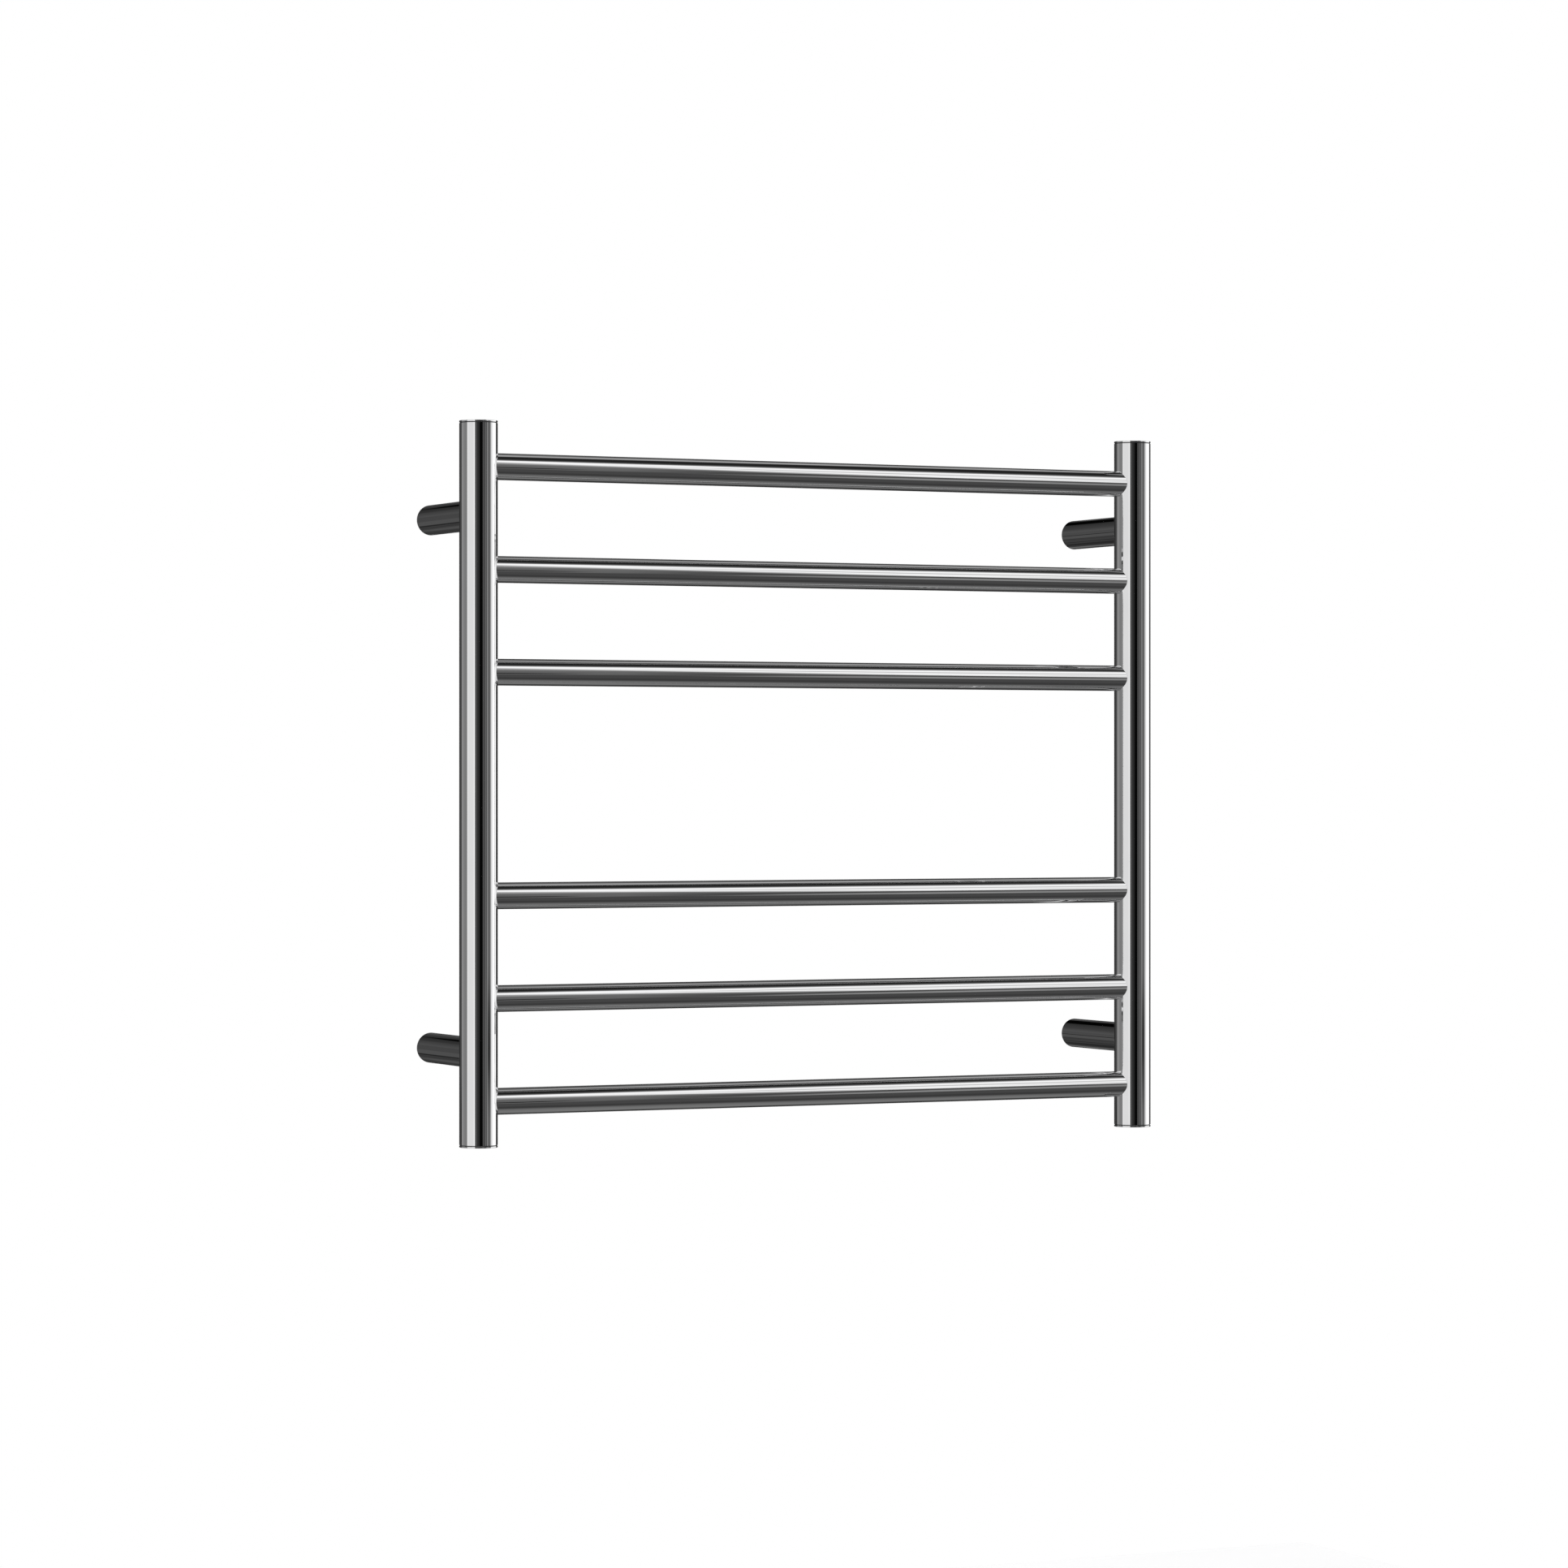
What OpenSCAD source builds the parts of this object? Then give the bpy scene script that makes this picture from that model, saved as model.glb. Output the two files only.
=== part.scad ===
// Wall-hung heated towel rail: two round posts, six round rungs and four stand-off legs that push
// over wall bosses, with a dry heating cable threaded through the tubes.
// The origin is on the wall at the centre of the fixing pattern: +X right, +Z up, front faces -Y.

/* [Overall] */
// Height over the post caps
rail_h = 600; // [590:5:800]
// Distance between the two post axes
post_pitch = 618.2; // [400:0.1:900]
// Distance from the wall to the post axes
stand_off = 106; // [98:0.5:120]

/* [Tubes] */
// Outside diameter of a post
post_d = 31.8; // [31.8:0.1:35]
// Wall thickness of a post
post_wall = 1.2; // [1:0.1:1.5]
// Outside diameter of a rung
rung_d = 22.2; // [20:0.1:22.2]
// Wall thickness of a rung
rung_wall = 1.0; // [0.8:0.1:1.2]
// Outside diameter of a stand-off leg
leg_d = 25.4; // [25:0.1:27]
// Wall thickness of a leg
leg_wall = 1.5; // [1.2:0.1:1.5]

/* [Rungs] */
// Distance between neighbouring rungs of one group
rung_pitch = 85; // [70:1:86]
// Distance across the wide gap between the two groups of three
middle_gap = 185; // [120:1:186]

/* [Legs] */
// Distance from the outermost rung of a group to the leg, towards the middle
leg_inset = 40; // [38:1:45]

/* [Caps] */
// Thickness of a post cap outside the tube
cap_t = 1.7; // [1.5:0.1:3]
// Radius of the cap's outer rim
cap_round = 0.6; // [0.2:0.1:0.8]
// Depth of the bevel that makes the seam line under a cap
cap_seam = 0.3; // [0.2:0.1:0.4]

/* [Wall bosses] */
// Length of a wall boss
boss_l = 16; // [14:1:20]
// Diameter of a wall screw hole
screw_hole_d = 3.8; // [3.5:0.1:4]
// Distance between the two screws of one boss
screw_pitch = 14.6; // [14.4:0.1:14.8]
// Diameter of the bore in the middle of a boss
boss_bore_d = 7.5; // [7:0.1:7.6]
// Diameter of the hole for the supply cable in its bush
cable_hole_d = 6.1; // [5:0.1:6.4]

/* [Heating cable] */
// Diameter of the heating cable
cable_d = 5.5; // [4:0.1:6]
// Bend radius of the heating cable and the cold lead
bend_r = 13; // [12:0.5:14]

/* [Hidden] */
$fn = 96;

// Gap between two parts that slide into each other
slip = 0.05;
// Radial gap between a leg and its wall boss
boss_slip = 0.1;
// How far a cutting tool passes the face that it cuts
past = 1;

post_r = post_d / 2;
post_bore_r = post_r - post_wall;
post_x = post_pitch / 2;
rung_r = rung_d / 2;
rung_bore_r = rung_r - rung_wall;
leg_r = leg_d / 2;
leg_bore_r = leg_r - leg_wall;

// Height of the middle rung of the upper group, and the six rung heights, top first
group_z = middle_gap / 2 + rung_pitch;
RUNG_Z = [for (side = [1, -1], step = [1, 0, -1]) side * group_z + step * rung_pitch];
leg_z = RUNG_Z[0] - leg_inset;

// A tube end stays this far from the post axis, which is past the far edge of the hole in the post
rung_end = sqrt(pow(post_bore_r, 2) - pow(rung_r, 2)) - 0.5;
leg_end = sqrt(pow(post_bore_r, 2) - pow(leg_r, 2)) - 0.4;

// Post caps
cap_spigot_l = 8;
cap_spigot_wall = 2.2;
cap_floor = 1.5;

// Wall bosses, their screws and the grub screws that lock the legs on them
boss_r = leg_bore_r - boss_slip;
screw_head_d = 6.8;
screw_hole_r = screw_hole_d / 2;
countersink_h = (screw_head_d - screw_hole_d) / 2;
boss_chamfer = 0.6;
grub_r = 2.5;
grub_l = 4;
grub_hex_r = 1.45;
grub_hex_l = 2;
grub_recess = 0.1;
grub_cone = 0.6;
grub_y = -boss_l / 2;

// Supply side, inside the lower left leg
block_r = 8.6;
block_l = 24;
block_y = -32;
pole_r = 5;
contact_l = 20;
contact_r = 1.7;
contact_bore_r = 1.1;
core_r = 0.9;
core_in = 8;
lead_r = 2.6;
core_gap = 8;
yoke_w = 7;
yoke_h = 11.4;
yoke_l = 8;
yoke_y = block_y - block_l - core_gap;

// Fittings on the cold lead and the heating cable
cutout_r = 6;
cutout_l = 32;
splice_r = 5;
splice_l = 40;
end_seal_r = 4.2;
end_seal_l = 30;
neck_l = 5;
cutout_x = -post_x + bend_r + 14;
splice_x = cutout_x + cutout_l + 14;
end_seal_x = -post_x + bend_r + 20;
bend_x = post_x - bend_r;
lower_z = RUNG_Z[5];

// Earth connection on the lower left cap
stud_r = 2;
stud_l = 9;
tag_t = 0.8;
tag_r = 4.2;
tag_barrel_r = 1.7;
tag_barrel_l = 8;
earth_r = 1.1;
earth_bend_r = 6;
earth_dx = -pole_r;
earth_dy = 4;
nut_af_r = 4.04;
nut_h = 3.2;
earth_floor_z = -rail_h / 2 + cap_t + cap_floor;

// Names of the four corners, seen from the front, with the side and the level of each
CORNERS = ["top_left", "top_right", "bottom_left", "bottom_right"];
SIDE = [-1, 1, -1, 1];
LEVEL = [1, 1, -1, -1];

// A cylinder along Y from y towards the front, for a length
module rod_y(r, y, length) {
    translate([0, y, 0]) rotate([90, 0, 0]) cylinder(r = r, h = length);
}

// A cylinder along X from x towards the right, for a length
module rod_x(r, x, length) {
    translate([x, 0, 0]) rotate([0, 90, 0]) cylinder(r = r, h = length);
}

// A quarter bend of a round rod in the XY plane, centred on the origin, from +X round to +Y
module quarter_bend(bend, r) {
    rotate_extrude(angle = 90) translate([bend, 0]) circle(r = r);
}

// A quarter bend standing in the XZ plane. sx and sz say which way it bulges from its centre.
module bend_xz(sx, sz, bend, r) {
    mirror([sx < 0 ? 1 : 0, 0, 0]) mirror([0, 0, sz < 0 ? 1 : 0])
        rotate([90, 0, 0]) quarter_bend(bend, r);
}

// One post: a tube with a hole for each rung on its inner side and a hole for each leg at its back
module post(side) {
    tube_z = rail_h / 2 - cap_t;
    color("gainsboro") translate([side * post_x, -stand_off, 0]) difference() {
        translate([0, 0, -tube_z]) cylinder(r = post_r, h = 2 * tube_z);
        translate([0, 0, -tube_z - past]) cylinder(r = post_bore_r, h = 2 * (tube_z + past));
        for (z = RUNG_Z) translate([0, 0, z])
            rod_x(rung_r + slip, side > 0 ? -post_r - past : 0, post_r + past);
        for (level = [1, -1]) translate([0, 0, level * leg_z])
            rod_y(leg_r + slip, post_r + past, post_r + past);
    }
}

// One post cap: a disc with a rounded rim on a hollow spigot. It is drawn at the top of a post.
module cap_shape() {
    top = rail_h / 2;
    seat = top - cap_t;
    spigot_r = post_bore_r - slip;
    rotate_extrude() difference() {
        union() {
            translate([0, seat]) square([post_r - cap_round, cap_t]);
            translate([0, seat + cap_seam]) square([post_r, cap_t - cap_seam - cap_round]);
            translate([post_r - cap_round, top - cap_round]) circle(r = cap_round);
            polygon([[0, seat], [post_r - cap_seam, seat], [post_r, seat + cap_seam], [0, seat + cap_seam]]);
            translate([0, seat - cap_spigot_l]) square([spigot_r, cap_spigot_l]);
        }
        translate([-1, seat - cap_spigot_l - past])
            square([1 + spigot_r - cap_spigot_wall, cap_spigot_l + past - cap_floor]);
        translate([-2, seat - cap_spigot_l - past]) square([2, cap_t + cap_spigot_l + 2 * past]);
    }
}

module cap(i) {
    color("silver") translate([SIDE[i] * post_x, -stand_off, 0])
        mirror([0, 0, LEVEL[i] < 0 ? 1 : 0]) cap_shape();
}

// One rung: a plain tube whose ends stand inside the posts
module rung(n) {
    length = 2 * (post_x - rung_end);
    color("gainsboro") translate([0, -stand_off, RUNG_Z[n - 1]]) difference() {
        rod_x(rung_r, -length / 2, length);
        rod_x(rung_bore_r, -length / 2 - past, length + 2 * past);
    }
}

// One stand-off leg: a tube from the wall into the back of the post, with a threaded hole below
module leg(i) {
    length = stand_off - leg_end;
    color("gainsboro") translate([SIDE[i] * post_x, 0, LEVEL[i] * leg_z]) difference() {
        rod_y(leg_r, 0, length);
        rod_y(leg_bore_r, past, length + 2 * past);
        translate([0, grub_y, -leg_r - past]) cylinder(r = grub_r + slip, h = leg_r);
    }
}

// One wall boss: a plug with a middle bore, two countersunk screw holes and a seat for the grub screw
module wall_boss(i) {
    seat_z = -leg_r + grub_recess + grub_l + slip;
    color("darkgray") translate([SIDE[i] * post_x, 0, LEVEL[i] * leg_z]) difference() {
        union() {
            rod_y(boss_r, 0, boss_l - boss_chamfer);
            translate([0, boss_chamfer - boss_l, 0]) rotate([90, 0, 0])
                cylinder(r1 = boss_r, r2 = boss_r - boss_chamfer, h = boss_chamfer);
        }
        rod_y(boss_bore_d / 2, past, boss_l + 2 * past);
        for (s = [-1, 1]) translate([s * screw_pitch / 2, 0, 0]) {
            rod_y(screw_hole_r, past, boss_l + 2 * past);
            translate([0, countersink_h - boss_l, 0]) rotate([90, 0, 0])
                cylinder(r1 = screw_hole_r, r2 = screw_head_d / 2, h = countersink_h);
        }
        translate([0, grub_y, -boss_r - past]) cylinder(r = grub_r + 0.2, h = boss_r + past + seat_z);
    }
}

// One grub screw: a headless screw with a hexagon socket below and a coned tip above
module grub_screw(i) {
    color("dimgray") translate([SIDE[i] * post_x, grub_y, LEVEL[i] * leg_z - leg_r + grub_recess])
        difference() {
            union() {
                cylinder(r = grub_r, h = grub_l - grub_cone);
                translate([0, 0, grub_l - grub_cone]) cylinder(r1 = grub_r, r2 = grub_r - grub_cone, h = grub_cone);
            }
            translate([0, 0, -past]) cylinder(r = grub_hex_r, h = grub_hex_l + past, $fn = 6);
        }
}

// Puts its children at the lower left leg: the leg's axis is then Y, and the wall is y = 0
module at_supply_leg() {
    translate([-post_x, 0, -leg_z]) children();
}

// Puts its children at the three poles of the terminal block. The first pole is the earth.
module at_poles() {
    for (turn = [180, 60, -60]) translate([pole_r * cos(turn), 0, pole_r * sin(turn)]) children();
}

// Sleeve that lines the bore of the lower left boss, where the supply cable comes out of the wall
module cable_bush() {
    color("dimgray") at_supply_leg() difference() {
        rod_y(boss_bore_d / 2 - slip, 0, boss_l);
        rod_y(cable_hole_d / 2, past, boss_l + 2 * past);
    }
}

// Insulating block with three through bores, one for each core of the supply cable
module terminal_block() {
    color("ivory") at_supply_leg() difference() {
        rod_y(block_r, block_y, block_l);
        at_poles() rod_y(contact_r + slip, block_y + past, block_l + 2 * past);
    }
}

// Brass sleeves that join the cores inside the block
module terminal_contacts() {
    color("goldenrod") at_supply_leg() at_poles() difference() {
        rod_y(contact_r, block_y - (block_l - contact_l) / 2, contact_l);
        rod_y(contact_bore_r, block_y + past, block_l + 2 * past);
    }
}

// Unheated lead from the terminal block to the thermal cut-out: two cores that join a round sheath in
// a moulded yoke. The sheath runs along the leg, bends down in the post and bends into the lowest rung.
module cold_lead() {
    drop = -leg_z - lower_z - 2 * bend_r;
    color("white") {
        at_supply_leg() {
            for (s = [1, -1]) translate([pole_r * cos(60), 0, s * pole_r * sin(60)])
                rod_y(core_r, block_y - block_l + core_in, core_in + core_gap + 1);
            translate([-yoke_w / 2, yoke_y - yoke_l, -yoke_h / 2]) cube([yoke_w, yoke_l, yoke_h]);
            rod_y(lead_r, yoke_y - yoke_l + 1, stand_off - bend_r + yoke_y - yoke_l + 1);
        }
        translate([-post_x, bend_r - stand_off, -leg_z - bend_r]) rotate([0, 0, -90])
            bend_xz(1, 1, bend_r, lead_r);
        translate([-post_x, -stand_off, lower_z + bend_r]) cylinder(r = lead_r, h = drop);
        translate([bend_r - post_x, -stand_off, lower_z + bend_r]) bend_xz(-1, -1, bend_r, lead_r);
        translate([0, -stand_off, lower_z]) rod_x(lead_r, -bend_x, cutout_x + bend_x);
    }
}

// A round fitting on a cable in a rung, with a neck at each end that grips the cable
module in_line_fitting(r, neck_r, x, length) {
    rotate([0, 90, 0]) translate([0, 0, x]) {
        translate([0, 0, neck_l]) cylinder(r = r, h = length - 2 * neck_l);
        cylinder(r1 = neck_r, r2 = r, h = neck_l);
        translate([0, 0, length - neck_l]) cylinder(r1 = r, r2 = neck_r, h = neck_l);
    }
}

// Over-temperature cut-out, in the lowest rung
module thermal_cutout() {
    color("firebrick") translate([0, -stand_off, lower_z])
        in_line_fitting(cutout_r, lead_r + 0.8, cutout_x, cutout_l);
}

// Sleeve over the joint between the cold lead and the heating cable, with the short lead that feeds it
module lead_splice() {
    color("black") translate([0, -stand_off, lower_z]) {
        in_line_fitting(splice_r, lead_r + 0.8, splice_x, splice_l);
        rod_x(lead_r, cutout_x + cutout_l, splice_x - cutout_x - cutout_l + neck_l);
    }
}

// One straight run of the heating cable in rung n, counted from the top
module cable_run(n) {
    left = n == 6 ? splice_x + splice_l : (n == 1 ? end_seal_x + end_seal_l : -bend_x);
    translate([0, 0, RUNG_Z[n - 1]]) rod_x(cable_d / 2, left, bend_x - left);
}

// The turn of the heating cable inside a post, from rung n up to rung n - 1
module cable_turn(n, side) {
    low = RUNG_Z[n - 1];
    high = RUNG_Z[n - 2];
    translate([side * post_x, 0, low + bend_r]) cylinder(r = cable_d / 2, h = high - low - 2 * bend_r);
    translate([side * bend_x, 0, low + bend_r]) bend_xz(side, -1, bend_r, cable_d / 2);
    translate([side * bend_x, 0, high - bend_r]) bend_xz(side, 1, bend_r, cable_d / 2);
}

// Heating cable: one length that winds up the rail through every rung
module heating_cable() {
    color("orangered") translate([0, -stand_off, 0]) {
        for (n = [1 : 6]) cable_run(n);
        for (n = [6 : -1 : 2]) cable_turn(n, n % 2 == 0 ? 1 : -1);
    }
}

// Closed sleeve on the far end of the heating cable, in the top rung
module element_end_seal() {
    color("black") translate([0, -stand_off, RUNG_Z[0]])
        in_line_fitting(end_seal_r, cable_d / 2 + 0.6, end_seal_x, end_seal_l);
}

// Earth wire from the terminal block along the leg and down the post to the tag on the lower cap
module earth_lead() {
    turn_y = earth_dy + earth_bend_r - stand_off;
    tag_top = earth_floor_z + tag_barrel_l;
    start_y = block_y - block_l + core_in;
    color("yellowgreen") translate([earth_dx - post_x, 0, 0]) {
        translate([0, 0, -leg_z]) rod_y(core_r, start_y, core_in);
        translate([0, 0, -leg_z]) rod_y(earth_r, start_y - core_in, start_y - core_in - turn_y);
        translate([0, turn_y, -leg_z - earth_bend_r]) rotate([0, 0, -90]) bend_xz(1, 1, earth_bend_r, earth_r);
        translate([0, earth_dy - stand_off, tag_top - 4]) cylinder(r = earth_r, h = -leg_z - earth_bend_r - tag_top + 4);
    }
}

// Ring tag on the stud, with a tongue to an upright barrel that grips the earth wire
module earth_tag() {
    reach = norm([earth_dx, earth_dy]);
    color("silver") translate([-post_x, -stand_off, earth_floor_z]) rotate([0, 0, atan2(earth_dy, earth_dx)])
        difference() {
            union() {
                cylinder(r = tag_r, h = tag_t);
                translate([0, -tag_barrel_r, 0]) cube([reach, 2 * tag_barrel_r, tag_t]);
                translate([reach, 0, 0]) cylinder(r = tag_barrel_r, h = tag_barrel_l);
            }
            translate([0, 0, -past]) cylinder(r = stud_r + 0.15, h = tag_t + 2 * past);
            translate([reach, 0, tag_t]) cylinder(r = earth_r + slip, h = tag_barrel_l);
        }
}

// Stud that stands on the floor of the lower left cap
module earth_stud() {
    color("silver") translate([-post_x, -stand_off, earth_floor_z]) cylinder(r = stud_r, h = stud_l);
}

// Nut that clamps the tag on the stud
module earth_nut() {
    color("silver") translate([-post_x, -stand_off, earth_floor_z + tag_t]) difference() {
        cylinder(r = nut_af_r, h = nut_h, $fn = 6);
        translate([0, 0, -past]) cylinder(r = stud_r + slip, h = nut_h + 2 * past);
    }
}

post(-1);  // post_left
post(1);  // post_right
for (n = [1 : 6]) rung(n);
for (i = [0 : 3]) cap(i);
for (i = [0 : 3]) leg(i);
for (i = [0 : 3]) wall_boss(i);
for (i = [0 : 3]) grub_screw(i);
cable_bush();
terminal_block();
terminal_contacts();
cold_lead();
thermal_cutout();
lead_splice();
heating_cable();
element_end_seal();
earth_lead();
earth_tag();
earth_stud();
earth_nut();
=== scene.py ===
"""Towel warmer rack: the looks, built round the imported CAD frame. Metres, +Z up, the wall is y = 0."""

import math

import bmesh
import bpy
from mathutils import Matrix, Vector


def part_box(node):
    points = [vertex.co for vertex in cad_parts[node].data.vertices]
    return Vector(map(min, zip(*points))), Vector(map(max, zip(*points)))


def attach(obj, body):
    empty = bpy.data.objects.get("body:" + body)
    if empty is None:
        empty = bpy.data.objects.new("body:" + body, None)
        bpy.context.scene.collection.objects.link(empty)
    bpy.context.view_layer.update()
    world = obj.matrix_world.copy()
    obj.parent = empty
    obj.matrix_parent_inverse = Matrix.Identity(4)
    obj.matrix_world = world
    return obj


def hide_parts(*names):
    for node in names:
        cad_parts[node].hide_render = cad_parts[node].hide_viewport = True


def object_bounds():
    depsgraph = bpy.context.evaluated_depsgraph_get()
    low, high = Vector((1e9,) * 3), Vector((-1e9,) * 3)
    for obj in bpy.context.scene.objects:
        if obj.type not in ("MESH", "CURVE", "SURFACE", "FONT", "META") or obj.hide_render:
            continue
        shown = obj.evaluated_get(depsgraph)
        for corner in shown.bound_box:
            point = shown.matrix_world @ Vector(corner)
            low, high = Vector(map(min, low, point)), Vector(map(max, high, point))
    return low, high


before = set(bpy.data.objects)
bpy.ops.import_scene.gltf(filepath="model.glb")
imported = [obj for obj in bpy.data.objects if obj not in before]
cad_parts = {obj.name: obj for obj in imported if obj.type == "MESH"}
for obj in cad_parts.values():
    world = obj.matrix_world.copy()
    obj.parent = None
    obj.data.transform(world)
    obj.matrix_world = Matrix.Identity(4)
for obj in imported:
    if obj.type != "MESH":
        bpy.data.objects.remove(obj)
cad_low, cad_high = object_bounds()

MM = 0.001
CORNERS = ["top_left", "top_right", "bottom_left", "bottom_right"]
RUNGS = [f"rung_{n}" for n in range(1, 7)]

# Wall thicknesses, broken edges and the clearance of a fit, which the frame's boxes don't show
POST_WALL = 1.2 * MM
RUNG_WALL = 1.0 * MM
LEG_WALL = 1.5 * MM
EDGE_BREAK = 0.15 * MM
SLIP = 0.05 * MM

# Segments round a tube, a small turned part and the end of a hexagon key
TUBE_SEGMENTS = 160
SMALL_SEGMENTS = 96
HEXAGON = 6
# Edges sharper than these stay crisp, in degrees: on most pieces, and on those with finely stepped rounds
SHARP = 30
SHARP_ROUNDED = 40


# ---------------------------------------------------------------- places from the frame

def centre(node):
    """Middle of a CAD node's box."""
    low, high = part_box(node)
    return (low + high) / 2


def size(node):
    """Width, depth and height of a CAD node's box."""
    low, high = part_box(node)
    return high - low


# ---------------------------------------------------------------- mesh helpers

AXIS_TURNS = {
    "X": Matrix.Rotation(math.radians(90), 4, "Y"),
    "Y": Matrix.Rotation(math.radians(-90), 4, "X"),
    "Z": Matrix.Identity(4),
}


def new_piece(name, mesh_maker, place, axis="Z"):
    """An object whose mesh is drawn round its own Z axis, turned to an axis of the row frame."""
    mesh = bpy.data.meshes.new(name)
    work = bmesh.new()
    mesh_maker(work)
    bmesh.ops.transform(work, matrix=AXIS_TURNS[axis], verts=work.verts)
    bmesh.ops.recalc_face_normals(work, faces=work.faces)
    work.to_mesh(mesh)
    work.free()
    piece = bpy.data.objects.new(name, mesh)
    bpy.context.scene.collection.objects.link(piece)
    piece.location = place
    return piece


def turned(profile, segments):
    """Mesh maker: a closed outline of (radius, height) points turned round Z.

    An outline that starts and ends on the axis makes a solid with a flat face at each end.
    """
    def make(work):
        angles = [2 * math.pi * step / segments for step in range(segments)]
        rings = []
        for radius, height in profile:
            if radius > 0:
                spots = [(radius * math.cos(a), radius * math.sin(a), height) for a in angles]
                rings.append([work.verts.new(spot) for spot in spots])
        solid = profile[0][0] == 0
        for ring, following in zip(rings, rings[1:] if solid else rings[1:] + rings[:1]):
            join_rings(work, ring, following)
        if solid:
            work.faces.new(rings[0])
            work.faces.new(rings[-1])
    return make


def join_rings(work, ring, following):
    """Faces between two rings of a turned part."""
    for step in range(len(ring)):
        after = (step + 1) % len(ring)
        work.faces.new((ring[step], following[step], following[after], ring[after]))


def tube_outline(outer, inner, low, high, edge=EDGE_BREAK):
    """Outline of a tube's wall with its four edges broken."""
    return [
        (outer - edge, low), (outer, low + edge), (outer, high - edge), (outer - edge, high),
        (inner + edge, high), (inner, high - edge), (inner, low + edge), (inner + edge, low),
    ]


def rod_outline(radius, low, high):
    """Outline of a solid round rod, for a cutting tool."""
    return [(0, low), (radius, low), (radius, high), (0, high)]


def arc(centre_r, centre_h, radius, start, end, steps):
    """Points of an arc in a turned part's outline, from one angle to another in degrees."""
    turn = [math.radians(start + (end - start) * step / steps) for step in range(steps + 1)]
    return [(centre_r + radius * math.cos(a), centre_h + radius * math.sin(a)) for a in turn]


def cut(piece, tools):
    """Cuts the tools out of a piece with exact booleans, then deletes them."""
    for tool in tools:
        step = piece.modifiers.new("cut", "BOOLEAN")
        step.object = tool
        step.operation = "DIFFERENCE"
        step.solver = "EXACT"
    bpy.context.view_layer.update()
    seen = piece.evaluated_get(bpy.context.evaluated_depsgraph_get())
    result = bpy.data.meshes.new_from_object(seen)
    result.name = piece.name
    piece.modifiers.clear()
    piece.data = result
    for tool in tools:
        bpy.data.objects.remove(tool)


def shade(piece, angle=SHARP):
    """Smooth shading with crisp edges. The faces with more than four corners are flat ends."""
    piece.data.shade_smooth()
    piece.data.set_sharp_from_angle(angle=math.radians(angle))
    for face in piece.data.polygons:
        if len(face.vertices) > 4:
            face.use_smooth = False


# A face whose normal is this close to radial (a cosine) belongs to the round wall of a cut tube
ROUND_WALL = 0.98


def shade_round(piece, axis):
    """Gives the wall of a cut tube the true normals of its cylinder, so reflections stay straight."""
    mesh = piece.data
    mesh.shade_smooth()
    along = "XYZ".index(axis)
    normals = []
    for face in mesh.polygons:
        for corner in face.loop_indices:
            out = mesh.vertices[mesh.loops[corner].vertex_index].co.copy()
            out[along] = 0
            out.normalize()
            outward = out.dot(face.normal)
            on_wall = abs(outward) > ROUND_WALL
            normals.append(out * math.copysign(1, outward) if on_wall else face.normal.copy())
    mesh.normals_split_custom_set(normals)


def finish_piece(piece, node, material):
    """The piece stands for a CAD node: it gets the given material, hangs from the root body, and the node
    is hidden.
    """
    piece.data.materials.clear()
    piece.data.materials.append(material)
    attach(piece, "root")
    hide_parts(node)


# ---------------------------------------------------------------- material helpers

def node_material(name, colour, metallic, roughness):
    """A material with a Principled shader, and its node tree. Its nodes go on to vary these values."""
    material = bpy.data.materials.new(name)
    material.use_nodes = True
    tree = material.node_tree
    shader = tree.nodes["Principled BSDF"]
    shader.inputs["Base Color"].default_value = (*colour, 1)
    shader.inputs["Metallic"].default_value = metallic
    shader.inputs["Roughness"].default_value = roughness
    return material, tree, shader


def object_space(tree, scale=(1, 1, 1)):
    """Object coordinates, with a scale for each axis."""
    source = tree.nodes.new("ShaderNodeTexCoord")
    mapping = tree.nodes.new("ShaderNodeMapping")
    mapping.inputs["Scale"].default_value = scale
    tree.links.new(source.outputs["Object"], mapping.inputs["Vector"])
    return mapping.outputs["Vector"]


def noise(tree, vector, scale, detail=3, rough=0.5, distortion=0):
    """A noise value from 0 to 1."""
    texture = tree.nodes.new("ShaderNodeTexNoise")
    texture.inputs["Scale"].default_value = scale
    texture.inputs["Detail"].default_value = detail
    texture.inputs["Roughness"].default_value = rough
    texture.inputs["Distortion"].default_value = distortion
    tree.links.new(vector, texture.inputs["Vector"])
    return texture.outputs["Fac"]


def remap(tree, value, low, high, to_low, to_high, smooth=False):
    """Maps low..high to to_low..to_high, clamped."""
    node = tree.nodes.new("ShaderNodeMapRange")
    node.interpolation_type = "SMOOTHSTEP" if smooth else "LINEAR"
    for name, number in zip(("From Min", "From Max", "To Min", "To Max"), (low, high, to_low, to_high)):
        node.inputs[name].default_value = number
    tree.links.new(value, node.inputs["Value"])
    return node.outputs["Result"]


def feed(tree, socket, value):
    """Gives an input socket a number or a colour, or links another socket to it."""
    if isinstance(value, bpy.types.NodeSocket):
        tree.links.new(value, socket)
    else:
        socket.default_value = value


# The range that a noise seldom leaves
NOISE_LOW = 0.3
NOISE_HIGH = 0.7


def vary(tree, socket, value, low, high):
    """Sets a socket from low to high over the usual range of a noise."""
    tree.links.new(remap(tree, value, NOISE_LOW, NOISE_HIGH, low, high), socket)


def arithmetic(tree, operation, a, b=0.0):
    """One math node. Each input is a socket or a number."""
    node = tree.nodes.new("ShaderNodeMath")
    node.operation = operation
    feed(tree, node.inputs[0], a)
    feed(tree, node.inputs[1], b)
    return node.outputs["Value"]


# The Mix node has sockets of its own for each kind of data: places of the factor, A, B and the result
MIX_SOCKETS = {"FLOAT": (0, 2, 3, 0), "RGBA": (0, 6, 7, 2)}


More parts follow.
